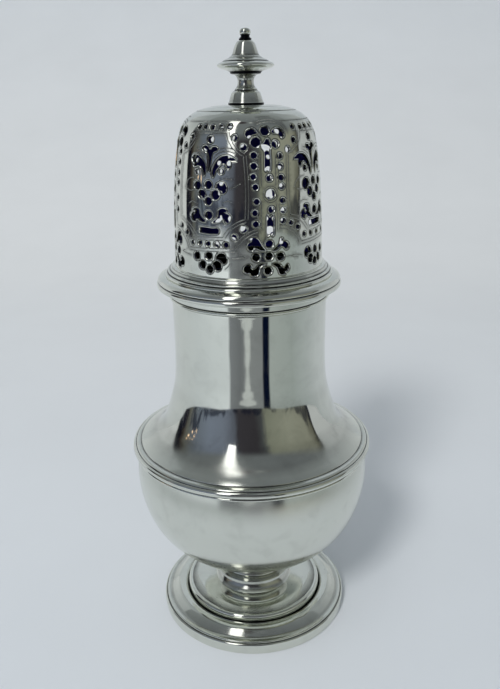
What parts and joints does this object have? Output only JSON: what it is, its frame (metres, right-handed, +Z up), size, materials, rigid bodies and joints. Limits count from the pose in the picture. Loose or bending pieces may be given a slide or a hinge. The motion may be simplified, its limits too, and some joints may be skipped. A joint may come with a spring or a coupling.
{
  "type": "sugar caster",
  "caption": "Silver baluster sugar caster on a stepped foot, with a tall pierced dome cover that lifts off and a turned finial.",
  "frame": {"origin": "middle of the foot's underside, on the surface that the caster stands on", "axes": "+Z up along the caster's axis; -Y towards the viewer of the picture"},
  "size_m": [0.074, 0.074, 0.178],
  "materials": {
    "silver": "polished"
  },
  "bodies": {
    "body": {"foot_rim": "silver", "foot_dome": "silver", "stem": "silver", "bowl": "silver", "girdle_moulding": "silver", "upper_body": "silver", "neck_collar": "silver"},
    "cover": {"cover_rim": "silver", "cover_bezel": "silver", "dome_moulding": "silver", "pierced_dome": "silver", "finial": "silver"}
  },
  "joints": [
    {"name": "cover_lift", "type": "slide", "parent": "body", "child": "cover", "axis": [0, 0, 1], "range_m": [0, 0.06]}
  ]
}
